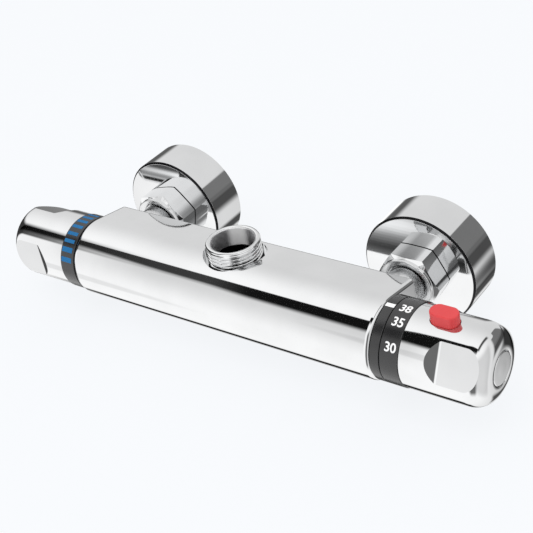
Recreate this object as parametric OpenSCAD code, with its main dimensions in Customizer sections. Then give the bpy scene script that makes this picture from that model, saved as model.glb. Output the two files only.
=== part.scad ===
// Wall-mounted thermostatic shower valve with a bar body, two handles and a top outlet.
// X runs along the bar to the temperature handle, Y runs into the wall, Z is up.
// The origin is on the wall face, midway between the two wall tails.
// Angles around the bar are counted from the top towards the front.

/* [Bar body] */
// Distance between the hot and the cold inlet
inlet_spacing = 150; // [147:0.5:153]
// From the middle of the inlets to the left end of the body
body_left = 85.5; // [84.5:0.5:88]
// From the middle of the inlets to the right end of the body
body_right = 88.5; // [87:0.5:91]
// Radius of the rounded front of the body
body_r = 20; // [19.6:0.1:21]
// From the bar axis back to the flat rear wall of the body
body_back = 25; // [24.5:0.5:27]
// Fall of the top face towards the wall, in degrees
top_slope = 11; // [9:0.5:12]
// Rounding of the ends and of the rear edges of the body
end_round = 2; // [0.8:0.1:2.5]
// From the wall to the bar axis
bar_out = 70; // [69:0.5:76]

/* [Outlet] */
// Outlet centre, to the right of the middle of the inlets
outlet_x = 1.5; // [-2:0.5:6]
// Outlet centre, behind the bar axis
outlet_back = 6.5; // [5.5:0.5:7]
// Height of the outlet rim above the bar axis
outlet_rim = 26.2; // [25:0.1:30]
// Crest radius of the three-quarter-inch outlet thread
outlet_thread_r = 13.22; // [13:0.01:13.3]
// Radius of the outlet bore
outlet_bore_r = 10.6; // [9.5:0.1:10.8]
// Radius of the recess round the outlet
recess_r = 15.3; // [14.8:0.1:16]
// Height of the recess floor above the bar axis
recess_floor = 12.5; // [11.5:0.1:13.5]

/* [Wall fittings] */
// Outer radius of the wall shrouds
shroud_r = 29.2; // [27:0.1:34]
// Depth of the wall shrouds, wall to face
shroud_depth = 21.2; // [20:0.1:22]
// Wall thickness of the shrouds
shroud_wall = 1.2; // [0.8:0.1:2]
// Rounding of the front edge of the shrouds
shroud_round = 1; // [0.4:0.1:1.5]
// Width across the flats of the union nuts
nut_flats = 29; // [28.5:0.1:30]
// Length of the union nuts
nut_len = 13; // [12.5:0.1:14]
// Metal left outside the union thread at the middle of a nut flat
nut_wall = 1.28; // [1.1:0.01:1.5]
// Angle of one corner of the hot nut, from +X upwards
hot_nut_angle = 75; // [30:1:90]
// Angle of one corner of the cold nut, from +X upwards
cold_nut_angle = 59; // [30:1:90]
// Crest radius of the half-inch wall thread
wall_thread_r = 10.48; // [10.3:0.01:10.6]
// Length of the wall thread beyond the wall face
wall_thread_len = 14; // [10:0.5:20]
// Drop of the wall thread below the nut, which turning the union sets
union_drop = 6; // [4:0.5:7]
// Outer radius of the inlet tails
tail_r = 9.8; // [9.6:0.1:10]
// Bore radius of the inlet tails
tail_bore_r = 7.5; // [7.2:0.1:7.8]

/* [Handles] */
// Radius of both handles
knob_r = 18.9; // [18.7:0.1:19.2]
// Length of both handles
knob_len = 38.8; // [38:0.1:42]
// Wall thickness of the handles
knob_wall = 2; // [1.8:0.1:2.2]
// Rounding of the closed end of the handles
knob_round = 9.5; // [8:0.1:10]
// Depth of the finger flats at their middle
flat_depth = 2.5; // [2:0.1:2.8]
// From the closed end of a handle back to its screw web
web_back = 9.5; // [9.2:0.1:10.5]
// From the open end of a handle to where its finger flats are full depth
flat_start = 17.2; // [16:0.1:19]
// Length of the ramp at the inner end of each finger flat
ramp_len = 5.2; // [4:0.1:6]
// Angle of the temperature reading mark and of the button
read_angle = 5; // [0:1:10]
// Angle of the middle of one finger flat on the flow handle
flow_flat_angle = 91; // [80:1:100]
// Radius of the discs that close the handle ends
cap_r = 7.95; // [7:0.05:8.5]

/* [Rings] */
// Outer radius of the pointer ring and both scale rings
ring_r = 19.3; // [19.2:0.1:19.6]
// Width of the fixed pointer ring
pointer_w = 4.6; // [4.4:0.1:6]
// Width of the two scale rings
scale_w = 8.9; // [8.5:0.1:11]

/* [Safety button] */
// Length of the button along the bar
button_len = 13.2; // [12:0.1:14]
// Width of the button across the bar
button_w = 8; // [7:0.1:8.6]
// Height of the button top above the bar axis
button_top = 24.2; // [23:0.1:26]
// Travel of the button
button_travel = 2; // [1.8:0.1:2.1]

/* [Hidden] */
$fn = 72;

// One overrun for every cut
cut = 1;
// Gap between a turning piece and a fixed face beside it
turn_gap = 0.3;
// Radial clearance of shafts and pistons that run in a bore
run_clear = 0.08;
// Radial clearance of cartridges, threads and clipped parts
seat_clear = 0.15;
// Radial room round the safety button
button_clear = 0.3;
// Chamfer on small turned parts
edge = 0.4;
// The bar lies as high above the wall threads as the unions drop
bar_up = union_drop;

// Thermostat side, places along the bar
thermo_end = 24;
thermo_r = 14.2;
pointer_end = body_right + pointer_w;
temp_ring_start = pointer_end + turn_gap;
temp_knob_start = temp_ring_start + scale_w;
nose_r = 11.5;
nose_beyond = 4.4;
nose_end = pointer_end + nose_beyond;
// Flow side, places along the bar counted to the left
flow_end = 44;
flow_r = 13.2;
flow_ring_start = body_left + turn_gap;
flow_knob_start = flow_ring_start + scale_w;
flow_nose_r = 9;
flow_nose_beyond = 6.5;
flow_nose_end = body_left + flow_nose_beyond;

// Water ways inside the body
mixed_r = 5.5;
mixed_up = -3;
way_r = 4;
way_up = 7;
way_back = 13.5;
way_start = 66;
hot_way_r = 3.2;
hot_way_up = -8;
hot_way_back = 17.2;
hot_port_x = 42;
cold_port_x = 71;
cold_port_r = 5;
chamber_r = 7.9;
chamber_back = 16.2;
spigot_root = 8;
spigot_root_r = 12;
outlet_floor = 4;
spigot_neck = 2;

// Inlet side, places counted out from the wall
tail_thread_r = 8.9;
tail_thread_len = 4.5;
nut_hole_r = 10.5;
nut_lip = 3.5;
union_thread_r = nut_flats / 2 - nut_wall;
flange_gap = 0.32;
flange_r = union_thread_r - flange_gap;
flange_t = 2.5;
washer_t = 2;
washer_w = 3.9;
washer_bore_r = flange_r - washer_w;
screen_t = 0.6;
screen_hole_r = 0.9;
nut_front = shroud_depth + nut_len;
flange_front = nut_front - nut_lip;
flange_back = flange_front - flange_t;
union_face = flange_back - washer_t;
tail_end = bar_out - body_back + tail_thread_len;
union_step = 12;
union_mix_t = 3;
union_bore_r = 9.5;
union_wall_bore_r = 8;
union_wall_face = 4;

// Check valves, in the inlet tails
spider_z = 12.4;
spider_t = 1.5;
check_len = spider_z + spider_t;
check_rim_r = 8.5;
check_rim_t = 1.1;
check_inner_r = 6.2;
check_seat_r = 4;
check_seat_z = 3;
check_seat_t = 1.5;
poppet_r = 5.4;
poppet_t = 1.4;
stem_r = 1.5;
spider_hub_r = 3;
spider_arm_w = 1.6;
check_wire = 0.5;

// Handle insides, counted from the open end
hub_r = 8.5;
hub_start = 3;
spline_r = 4;
web_start = knob_len - web_back;
web_t = 2.5;
pocket_r = 6.5;
cap_t = 1.6;
cap_plug_r = 6;
cap_plug_t = 2.2;
end_wall = 2.5;
screw_r = 2;
screw_head_r = 3.5;
screw_head_t = 2.4;
screw_len = 10;
clip_t = 0.85;
clip_len = 2.2;
ring_bore_r = knob_r - knob_wall;

// Safety button insides, heights above the bar axis
button_mid = 14.7;
button_bottom = 13.9;
flange_w = 1.2;
flange_top = 15.8;
arm_w = 3;
arm_low = 14.2;
arm_high = 15.5;
tooth_end = 6.6;
lug_low = 14;
lug_high = 15.7;
lug_angle = 28;
lug_gap = 7;
cold_turn = 150;
stop_plate_t = 2;
stop_tooth_len = 3.6;
override_wire = 0.6;

// Thermostat insides, places along the bar
housing_bore_r = 11;
housing_land_r = thermo_r - seat_clear;
housing_relief_r = 12.4;
housing_start = thermo_end + turn_gap;
housing_lip = 2.7;
housing_lip_r = 8;
housing_head = 80.2;
ring_wire_r = 1;
ring_depth = 2;
o_ring_places = [30, 53, 83];
land_places = [[housing_start, 34], [48, 58], [79, body_right]];
hot_window = [37, 43];
cold_window = [61, 67];
window_w = 9;
shuttle_start = 40.5;
shuttle_len = 23;
shuttle_wall = 1.5;
shuttle_web = 50.5;
shuttle_web_t = 1.5;
wax_r = 5;
wax_start = 36;
wax_end = 58;
wax_collar_r = 6.5;
wax_piston_r = 1.6;
pusher_start = 62;
pusher_end = 76;
pusher_r = 4;
shaft_r = 6;
spindle_sleeve_r = 7;
spindle_sleeve = 64;
spindle_flange_r = 9;
spindle_flange_t = 2;
spring_wire = 0.8;

// Flow cartridge insides, places counted to the left
flow_bore_r = 10.6;
flow_land_r = flow_r - seat_clear;
flow_start = flow_end + turn_gap;
flow_lip = 2.7;
flow_lip_r = 7;
seal_t = 3;
disc_t = 3.5;
disc_r = 10.4;
flow_head = 70;
flow_shaft_r = 5;
flow_window = [60.5, 67];
flow_relief = [59, 69];
flow_relief_r = 12;
port_r = 3;
port_out = 5;

// Places a piece along the bar: its own Z becomes X and its own X becomes up
module on_bar() {
    translate([0, -bar_out, bar_up]) rotate([0, 90, 0]) rotate([0, 0, 180]) children();
}

// The same for the left end, counted to the left
module on_bar_left() {
    on_bar() mirror([0, 0, 1]) children();
}

// Places a piece on an inlet axis: its own Z runs out from the wall
module on_inlet(side) {
    translate([side * inlet_spacing / 2, 0, bar_up]) rotate([90, 0, 0]) children();
}

// A tube between two places
module tube(outer, inner, low, high) {
    translate([0, 0, low]) difference() {
        cylinder(r = outer, h = high - low);
        translate([0, 0, -cut]) cylinder(r = inner, h = high - low + 2 * cut);
    }
}

// A rod between two places
module rod(r, low, high) {
    translate([0, 0, low]) cylinder(r = r, h = high - low);
}

// Rectangle from the axis to a radius, with its two outer corners rounded
module round_profile(r, low, high, low_round, high_round) {
    difference() {
        translate([0, low]) square([r, high - low]);
        if (low_round > 0) corner(r, low, low_round, 1);
        if (high_round > 0) corner(r, high, high_round, -1);
    }
}

// What a rounding takes away from a square corner
module corner(r, z, round, way) {
    difference() {
        translate([r - round, z + (way > 0 ? -cut : -round)]) square([round + cut, round + cut]);
        translate([r - round, z + way * round]) circle(r = round);
    }
}

// Rectangle with half-round ends, long side along Y
module stadium(len, w) {
    translate([-w / 2, -(len - w) / 2]) square([w, len - w]);
    for (s = [-1, 1]) translate([0, s * (len - w) / 2]) circle(r = w / 2);
}

// Coil spring along Z, made as one closed tube with six sides
module coil(mean_r, wire_r, low, high, turns) {
    sides = 6;
    steps = 14 * turns;
    rise = high - low - 2 * wire_r;
    points = [for (i = [0:steps]) let (a = 360 * turns * i / steps)
        for (k = [0:sides - 1]) let (b = 360 * k / sides, rr = mean_r + wire_r * cos(b))
            [rr * cos(a), rr * sin(a), low + wire_r + rise * i / steps + wire_r * sin(b)]];
    sides_faces = [for (i = [0:steps - 1]) for (k = [0:sides - 1]) let (n = (k + 1) % sides)
        each [[i * sides + k, i * sides + n, (i + 1) * sides + n],
            [i * sides + k, (i + 1) * sides + n, (i + 1) * sides + k]]];
    start_cap = [for (k = [1:sides - 2]) [0, k + 1, k]];
    end_cap = [for (k = [1:sides - 2]) [steps * sides, steps * sides + k, steps * sides + k + 1]];
    polyhedron(points = points, faces = concat(sides_faces, start_cap, end_cap));
}

// Outside of the body: the round bar and its four rear corners, joined by tangent planes
module body_outside() {
    corner_y = end_round - body_back;
    corner_x = (body_r - end_round + sin(top_slope) * corner_y) / cos(top_slope);
    hull() {
        rotate_extrude($fn = 64)
            round_profile(body_r, -body_left, body_right, end_round, end_round, $fn = 24);
        for (x = [-corner_x, corner_x]) for (z = [end_round - body_left, body_right - end_round])
            translate([x, corner_y, z]) sphere(r = end_round, $fn = 24);
    }
}

// Bores of the two cartridges and the ways between them
module body_ways() {
    rod(thermo_r, thermo_end, body_right + cut);
    translate([mixed_up, 0, 0]) rod(mixed_r, -flow_end - cut, thermo_end + cut);
    mirror([0, 0, 1]) rod(flow_r, flow_end, body_left + cut);
    translate([way_up, -way_back, 0]) rod(way_r, -way_start, outlet_x);
    translate([hot_way_up, -hot_way_back, 0]) rod(hot_way_r, -inlet_spacing / 2, hot_port_x);
    translate([0, 0, hot_port_x - hot_way_r]) rotate([0, 0, atan2(-hot_way_back, hot_way_up)])
        translate([thermo_r - cut, 0, 0]) rotate([0, 90, 0])
            cylinder(r = hot_way_r, h = norm([hot_way_up, hot_way_back]) - thermo_r + cut);
    translate([0, -mixed_r, cold_port_x]) rotate([90, 0, 0])
        cylinder(r = cold_port_r, h = chamber_back + cut - mixed_r);
}

module inlet_socket(side) {
    translate([0, -chamber_back, side * inlet_spacing / 2]) rotate([90, 0, 0]) {
        cylinder(r = chamber_r, h = body_back - chamber_back);
        translate([0, 0, body_back - chamber_back - tail_thread_len])
            cylinder(r = tail_thread_r + seat_clear, h = tail_thread_len + cut);
    }
}

module outlet_socket() {
    translate([0, -outlet_back, outlet_x]) rotate([0, 90, 0]) {
        translate([0, 0, outlet_floor]) cylinder(r = outlet_bore_r, h = spigot_root);
        translate([0, 0, spigot_root])
            cylinder(r = spigot_root_r + seat_clear, h = recess_floor - spigot_root + cut);
        translate([0, 0, recess_floor]) cylinder(r = recess_r, h = body_r);
    }
}

module valve_body() {
    color([0.86, 0.87, 0.88]) on_bar() difference() {
        body_outside();
        body_ways();
        inlet_socket(-1);
        inlet_socket(1);
        outlet_socket();
    }
}

// Stands the outlet pieces on the bar axis below the outlet
module on_outlet() {
    translate([outlet_x, outlet_back - bar_out, bar_up]) children();
}

module outlet_spigot() {
    neck_r = outlet_thread_r - spigot_neck;
    color([0.86, 0.87, 0.88]) on_outlet() difference() {
        union() {
            rod(spigot_root_r, spigot_root, recess_floor);
            rod(neck_r + edge, recess_floor - edge, recess_floor + spigot_neck + edge);
            rod(outlet_thread_r, recess_floor + spigot_neck, outlet_rim - edge);
            rod(outlet_thread_r - edge, outlet_rim - 2 * edge, outlet_rim);
        }
        translate([0, 0, spigot_root - cut])
            cylinder(r = outlet_bore_r, h = outlet_rim - spigot_root + 2 * cut);
    }
}

module outlet_seal() {
    neck_r = outlet_thread_r - spigot_neck + edge;
    color([0.1, 0.1, 0.1]) on_outlet() translate([0, 0, recess_floor + spigot_neck / 2])
        rotate_extrude() translate([neck_r + spigot_neck / 2, 0]) circle(r = spigot_neck / 2);
}

module inlet_tail(side) {
    color([0.84, 0.85, 0.86]) on_inlet(side) difference() {
        union() {
            rod(flange_r, flange_back, flange_front);
            rod(tail_r, flange_front - cut, bar_out - body_back);
            rod(tail_thread_r, bar_out - body_back - cut, tail_end);
        }
        rod(tail_bore_r, flange_back - cut, tail_end + cut);
        rod(check_rim_r + seat_clear, flange_back - cut, flange_back + check_rim_t);
    }
}

// Hexagon turned so that the photographed corners come out, bevelled at both ends
module union_nut(side, turn) {
    corner_r = nut_flats / sqrt(3);
    bevel = 1.6;
    lip = 0.8;
    color([0.86, 0.87, 0.88]) on_inlet(side) difference() {
        intersection() {
            translate([0, 0, shroud_depth]) rotate([0, 0, turn])
                cylinder(r = corner_r, h = nut_len, $fn = 6);
            rotate_extrude() polygon([[0, shroud_depth], [corner_r - bevel, shroud_depth],
                [corner_r, shroud_depth + bevel / 2], [corner_r, nut_front - 2 * bevel],
                [corner_r - bevel, nut_front - lip / 2],
                [nut_hole_r + 2 * lip, nut_front], [0, nut_front]]);
        }
        rod(union_thread_r + run_clear, shroud_depth - cut, flange_front);
        rod(nut_hole_r, shroud_depth, nut_front + cut);
    }
}

module inlet_washer(side) {
    color([0.15, 0.15, 0.15]) on_inlet(side)
        tube(flange_r - edge, washer_bore_r, union_face, flange_back);
}

module filter_screen(side) {
    color([0.7, 0.72, 0.74]) on_inlet(side)
        translate([0, 0, union_face + (washer_t - screen_t) / 2]) difference() {
            cylinder(r = washer_bore_r - seat_clear, h = screen_t);
            for (ring = [0:2]) for (k = [0:max(6 * ring, 1) - 1])
                rotate([0, 0, 60 * k / max(ring, 1)])
                    translate([ring * 3 * screen_hole_r, 0, -cut])
                        cylinder(r = screen_hole_r, h = screen_t + 2 * cut);
        }
}

// Three arms that carry the guide of the poppet stem
module spider(low, high) {
    rod(spider_hub_r, low, high);
    for (k = [0:2]) rotate([0, 0, 120 * k]) translate([0, -spider_arm_w / 2, low])
        cube([tail_bore_r, spider_arm_w, high - low]);
}

module check_body(side) {
    seat_end = check_seat_z + check_seat_t;
    color([0.9, 0.9, 0.88]) on_inlet(side) translate([0, 0, flange_back]) difference() {
        union() {
            rod(check_rim_r, 0, check_rim_t);
            rod(tail_bore_r - seat_clear, 0, check_len);
        }
        rod(check_inner_r, -cut, check_seat_z);
        rod(check_seat_r, 0, seat_end + edge);
        difference() {
            rod(check_inner_r, seat_end, check_len + cut);
            spider(spider_z, check_len + 2 * cut);
        }
        rod(stem_r + run_clear, spider_z - edge, check_len + cut);
    }
}

module check_poppet(side) {
    seat = flange_back + check_seat_z + check_seat_t;
    color([0.2, 0.2, 0.22]) on_inlet(side) {
        rod(poppet_r, seat + run_clear, seat + poppet_t);
        rod(stem_r, seat + poppet_t - edge, flange_back + check_len);
    }
}

module check_spring(side) {
    seat = flange_back + check_seat_z + check_seat_t;
    color([0.7, 0.7, 0.72]) on_inlet(side)
        coil(stem_r + 2 * check_wire, check_wire / 2, seat + poppet_t + run_clear,
            flange_back + spider_z - run_clear, 5);
}

module offset_union(side) {
    color([0.8, 0.8, 0.78]) on_inlet(side) difference() {
        union() {
            rod(union_thread_r, union_step, union_face);
            rod(union_thread_r + edge, union_wall_face, union_step);
            translate([0, -union_drop, 0]) rod(union_thread_r + edge, union_wall_face, union_step);
            translate([0, -union_drop, 0]) rod(wall_thread_r, -wall_thread_len, union_step);
        }
        rod(union_bore_r, union_step - union_mix_t, union_face + cut);
        translate([0, -union_drop, 0])
            rod(union_wall_bore_r, -wall_thread_len - cut, union_step - union_mix_t / 2);
    }
}

module wall_shroud(side) {
    color([0.86, 0.87, 0.88]) on_inlet(side) difference() {
        rotate_extrude() round_profile(shroud_r, 0, shroud_depth, 0, shroud_round);
        rotate_extrude() round_profile(shroud_r - shroud_wall, -cut, shroud_depth - shroud_wall, 0,
            max(shroud_round - shroud_wall / 2, edge));
        rod(union_thread_r + button_clear, 0, shroud_depth + cut);
    }
}

// Moulded ring with a hub, a web and a rim
module pointer_ring() {
    rim = 1.8;
    web = 1.8;
    color([0.2, 0.2, 0.2]) on_bar() difference() {
        rotate_extrude() round_profile(ring_r, body_right, pointer_end, edge, edge / 2);
        tube(ring_r - rim, nose_r + 2 * rim, body_right - cut, pointer_end - web);
        rod(nose_r + seat_clear, body_right - cut, pointer_end + cut);
    }
}

// Fixed ring with two lugs: the 38 degree stop and the stop at full cold
module stop_ring() {
    plate_end = pointer_end + stop_plate_t;
    tooth_angle = 2 * asin(arm_w / 2 / lug_low);
    color([0.92, 0.9, 0.82]) on_bar() {
        difference() {
            union() {
                rod(lug_high, pointer_end, plate_end);
                for (a = [read_angle + lug_gap, read_angle - cold_turn - lug_gap - lug_angle])
                    rotate([0, 0, a]) translate([0, 0, plate_end - edge])
                        rotate_extrude(angle = lug_angle)
                            translate([lug_low, 0]) square([lug_high - lug_low, stop_tooth_len + edge]);
            }
            rod(nose_r + seat_clear, pointer_end - cut, plate_end + stop_tooth_len + cut);
        }
    }
}

module thermostat_housing() {
    color([0.8, 0.66, 0.36]) on_bar() difference() {
        union() {
            rod(housing_relief_r, housing_start, body_right);
            for (p = land_places) rod(housing_land_r, p[0], p[1]);
            rod(nose_r, body_right - cut, nose_end);
        }
        for (x = o_ring_places) tube(thermo_r, thermo_r - ring_depth - seat_clear,
            x - ring_wire_r - seat_clear, x + ring_wire_r + seat_clear);
        rod(housing_bore_r, housing_start + housing_lip, housing_head);
        rod(housing_lip_r, housing_start - cut, housing_head);
        rod(shaft_r + run_clear, housing_head - cut, nose_end + cut);
        for (w = [hot_window, cold_window]) for (k = [0:3]) rotate([0, 0, 45 + 90 * k])
            translate([0, -window_w / 2, w[0]]) cube([thermo_r, window_w, w[1] - w[0]]);
    }
}

module thermostat_o_rings() {
    color([0.08, 0.08, 0.08]) on_bar() for (x = o_ring_places)
        translate([0, 0, x]) rotate_extrude()
            translate([thermo_r - ring_depth / 2 - seat_clear / 2, 0]) circle(r = ring_wire_r);
}

module thermostat_spring() {
    color([0.7, 0.7, 0.72]) on_bar()
        coil(housing_lip_r + spring_wire, spring_wire / 2, housing_start + housing_lip + run_clear,
            shuttle_web - run_clear, 8);
}

module thermostat_shuttle() {
    outer = housing_bore_r - run_clear;
    color([0.86, 0.8, 0.6]) on_bar() difference() {
        rod(outer, shuttle_start, shuttle_start + shuttle_len);
        rod(outer - shuttle_wall, shuttle_start - cut, shuttle_web);
        rod(outer - shuttle_wall, shuttle_web + shuttle_web_t, shuttle_start + shuttle_len + cut);
        rod(wax_r + run_clear, shuttle_start, shuttle_start + shuttle_len);
        for (k = [0:5]) rotate([0, 0, 60 * k])
            translate([(outer - shuttle_wall + wax_collar_r) / 2, 0, shuttle_web - cut])
                cylinder(r = shuttle_wall / 2, h = shuttle_web_t + 2 * cut);
    }
}

module wax_element() {
    web_end = shuttle_web + shuttle_web_t;
    color([0.85, 0.6, 0.4]) on_bar() {
        rod(wax_r, wax_start, wax_end);
        rod(wax_collar_r, web_end, web_end + shuttle_web_t);
        rod(wax_piston_r, wax_end - edge, pusher_start);
    }
}

module thermostat_pusher() {
    color([0.75, 0.75, 0.76]) on_bar() {
        rod(pusher_r, pusher_start, pusher_end);
        rod(pusher_r + edge, pusher_start, pusher_start + edge * 2);
    }
}

module temp_spindle() {
    flange_end = housing_head - turn_gap;
    color([0.8, 0.66, 0.36]) on_bar() difference() {
        union() {
            rod(spindle_sleeve_r, spindle_sleeve, flange_end);
            rod(spindle_flange_r, flange_end - spindle_flange_t, flange_end);
            rod(shaft_r, flange_end - edge, temp_knob_start);
            rotate([0, 0, read_angle]) translate([0, 0, temp_knob_start - edge])
                cylinder(r = spline_r, h = web_start - turn_gap + edge, $fn = 12);
        }
        rod(pusher_r + run_clear, spindle_sleeve - cut, pusher_end + spindle_flange_t);
        rod(screw_r + run_clear, temp_knob_start + web_start - screw_len,
            temp_knob_start + web_start + cut);
    }
}

// Sleeve with a thin clip that enters the open end of its handle
module scale_ring(low) {
    difference() {
        union() {
            rotate_extrude() round_profile(ring_r, low, low + scale_w, edge / 2, edge / 2);
            rod(ring_bore_r - run_clear, low + scale_w - edge, low + scale_w + clip_len);
        }
        rod(ring_bore_r - run_clear - clip_t, low - cut, low + scale_w + clip_len + cut);
    }
}

module temp_scale_ring() {
    color([0.2, 0.2, 0.2]) on_bar() scale_ring(temp_ring_start);
}

module flow_scale_ring() {
    color([0.2, 0.2, 0.2]) on_bar_left() scale_ring(flow_ring_start);
}

// Handle outline, or the same form drawn in by an inset: cylinder, round end, three flats
module knob_form(inset, len) {
    r = knob_r - inset;
    d = knob_r - flat_depth - inset;
    half_ramp = atan2(flat_depth, ramp_len) / 2;
    full = flat_start - inset * tan(half_ramp);
    difference() {
        rotate_extrude() round_profile(r, 0, len, 0, knob_round - inset);
        for (k = [0:2]) rotate([0, 0, 120 * k]) translate([0, knob_r, 0]) rotate([90, 0, 0])
            linear_extrude(2 * knob_r) polygon([[d, full], [d, len + cut], [r + cut, len + cut],
                [r + cut, full - ramp_len * (1 + cut / flat_depth)]]);
    }
}

// Hollow handle with a splined hub, a screw web and a recess for the end disc
module handle() {
    difference() {
        union() {
            difference() {
                knob_form(0, knob_len);
                translate([0, 0, -cut]) rod(knob_r - knob_wall, 0, cut * 2);
                knob_form(knob_wall, knob_len - end_wall);
            }
            rod(hub_r, hub_start, knob_len - end_wall + edge);
        }
        translate([0, 0, hub_start - cut])
            cylinder(r = spline_r + run_clear, h = web_start - hub_start + cut, $fn = 12);
        rod(screw_r + seat_clear, web_start - cut, knob_len);
        rod(pocket_r, web_start + web_t, knob_len);
        rod(cap_r + run_clear, knob_len - cap_t, knob_len + cut);
    }
}

// Turns to the reading angle and lays a flat drawing on a plane across the button
module at_button(height) {
    rotate([0, 0, read_angle]) translate([height, 0, temp_knob_start + button_mid])
        rotate([0, 90, 0]) rotate([0, 0, 90]) children();
}

module temp_knob() {
    color([0.86, 0.87, 0.88]) on_bar() difference() {
        translate([0, 0, temp_knob_start]) rotate([0, 0, read_angle + 60]) handle();
        at_button(flange_top - edge) linear_extrude(knob_r)
            stadium(button_len + 2 * button_clear, button_w + 2 * button_clear);
    }
}

module flow_knob() {
    color([0.86, 0.87, 0.88]) on_bar_left() translate([0, 0, flow_knob_start])
        rotate([0, 0, flow_flat_angle]) handle();
}

module knob_screw(start) {
    head = start + web_start + web_t;
    difference() {
        union() {
            rod(screw_head_r, head, head + screw_head_t);
            rod(screw_r, start + web_start - screw_len + edge, head + edge);
        }
        translate([0, 0, head + edge]) cylinder(r = screw_r, h = screw_head_t, $fn = 6);
    }
}

module temp_knob_screw() {
    color([0.7, 0.7, 0.72]) on_bar() knob_screw(temp_knob_start);
}

module flow_knob_screw() {
    color([0.7, 0.7, 0.72]) on_bar_left() knob_screw(flow_knob_start);
}

module end_cap(start) {
    face = start + knob_len;
    rod(cap_r, face - cap_t, face);
    tube(cap_plug_r + edge, cap_plug_r - edge, face - cap_t - cap_plug_t, face - cap_t + edge);
}

module temp_end_cap() {
    color([0.9, 0.91, 0.92]) on_bar() end_cap(temp_knob_start);
}

module flow_end_cap() {
    color([0.9, 0.91, 0.92]) on_bar_left() end_cap(flow_knob_start);
}

// Button, its retaining flange, and the arm whose tooth meets the stop ring
module override_button() {
    arm_end = temp_knob_start + button_mid - button_len / 2;
    tooth_start = pointer_end + stop_plate_t + edge;
    color([0.85, 0.22, 0.24]) on_bar() {
        difference() {
            union() {
                at_button(button_bottom) linear_extrude(button_top - button_bottom)
                    stadium(button_len, button_w);
                at_button(button_bottom) linear_extrude(flange_top - button_bottom)
                    stadium(button_len + 2 * flange_w, button_w + 2 * flange_w);
            }
            at_button(button_bottom - cut) cylinder(r = 2 * stem_r + override_wire,
                h = cut + flange_w);
        }
        rotate([0, 0, read_angle]) translate([arm_low, -arm_w / 2, tooth_start])
            cube([arm_high - arm_low, arm_w, arm_end - tooth_start]);
    }
}

module override_spring() {
    color([0.7, 0.7, 0.72]) on_bar() rotate([0, 0, read_angle])
        translate([0, 0, temp_knob_start + button_mid]) rotate([0, 90, 0])
            coil(2 * stem_r - override_wire, override_wire / 2, hub_r + run_clear,
                button_bottom + flange_w - run_clear, 5);
}

module flow_cartridge() {
    color([0.8, 0.66, 0.36]) on_bar_left() difference() {
        union() {
            rod(flow_land_r, flow_start, body_left);
            rod(flow_nose_r, body_left - cut, flow_nose_end);
        }
        tube(flow_r, flow_relief_r, flow_relief[0], flow_relief[1]);
        tube(flow_r, flow_r - ring_depth - seat_clear,
            flow_head + disc_t - ring_wire_r - seat_clear, flow_head + disc_t + ring_wire_r + seat_clear);
        rod(flow_bore_r, flow_start + flow_lip, flow_head);
        rod(flow_lip_r, flow_start - cut, flow_head);
        rod(flow_shaft_r + run_clear, flow_head - cut, flow_nose_end + cut);
        for (k = [0:3]) rotate([0, 0, 45 + 90 * k])
            translate([0, -window_w / 2, flow_window[0]])
                cube([flow_r, window_w, flow_window[1] - flow_window[0]]);
    }
}

module flow_o_ring() {
    color([0.08, 0.08, 0.08]) on_bar_left() translate([0, 0, flow_head + disc_t])
        rotate_extrude() translate([flow_r - ring_depth / 2 - seat_clear / 2, 0])
            circle(r = ring_wire_r);
}

module flow_disc_seal() {
    start = flow_start + flow_lip;
    color([0.15, 0.15, 0.15]) on_bar_left() tube(disc_r, flow_lip_r, start, start + seal_t);
}

// Ceramic disc with two water ports
module port_disc(r, low) {
    difference() {
        rod(r, low, low + disc_t);
        for (s = [-1, 1]) translate([s * port_out, 0, low - cut])
            cylinder(r = port_r, h = disc_t + 2 * cut);
    }
}

module flow_fixed_disc() {
    color([0.93, 0.92, 0.88]) on_bar_left()
        port_disc(disc_r, flow_start + flow_lip + seal_t);
}

module flow_moving_disc() {
    color([0.93, 0.92, 0.88]) on_bar_left() rotate([0, 0, 90])
        port_disc(disc_r - edge, flow_start + flow_lip + seal_t + disc_t);
}

module flow_spindle() {
    fork = flow_start + flow_lip + seal_t + 2 * disc_t;
    color([0.8, 0.66, 0.36]) on_bar_left() difference() {
        union() {
            rod(spindle_flange_r, fork, fork + spindle_flange_t);
            rod(flow_shaft_r, fork + edge, flow_knob_start + hub_start - turn_gap);
            rotate([0, 0, flow_flat_angle]) translate([0, 0, flow_knob_start])
                cylinder(r = spline_r, h = web_start - turn_gap, $fn = 12);
        }
        for (s = [-1, 1]) rotate([0, 0, 90]) translate([s * port_out, 0, fork - cut])
            cylinder(r = port_r, h = spindle_flange_t + 2 * cut);
        rod(screw_r + run_clear, flow_knob_start + web_start - screw_len,
            flow_knob_start + web_start + cut);
    }
}

valve_body();
outlet_spigot();
outlet_seal();
inlet_tail(-1);  // hot_inlet_tail
inlet_tail(1);  // cold_inlet_tail
union_nut(-1, hot_nut_angle);  // hot_union_nut
union_nut(1, cold_nut_angle);  // cold_union_nut
inlet_washer(-1);  // hot_inlet_washer
inlet_washer(1);  // cold_inlet_washer
filter_screen(-1);  // hot_filter_screen
filter_screen(1);  // cold_filter_screen
check_body(-1);  // hot_check_body
check_body(1);  // cold_check_body
check_spring(-1);  // hot_check_spring
check_spring(1);  // cold_check_spring
check_poppet(-1);  // hot_check_poppet
check_poppet(1);  // cold_check_poppet
offset_union(-1);  // hot_offset_union
offset_union(1);  // cold_offset_union
wall_shroud(-1);  // hot_wall_shroud
wall_shroud(1);  // cold_wall_shroud
pointer_ring();
stop_ring();
thermostat_housing();
thermostat_o_rings();
thermostat_spring();
thermostat_shuttle();
wax_element();
thermostat_pusher();
temp_spindle();
temp_scale_ring();
temp_knob();
temp_knob_screw();
temp_end_cap();
override_button();
override_spring();
flow_cartridge();
flow_o_ring();
flow_disc_seal();
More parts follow.
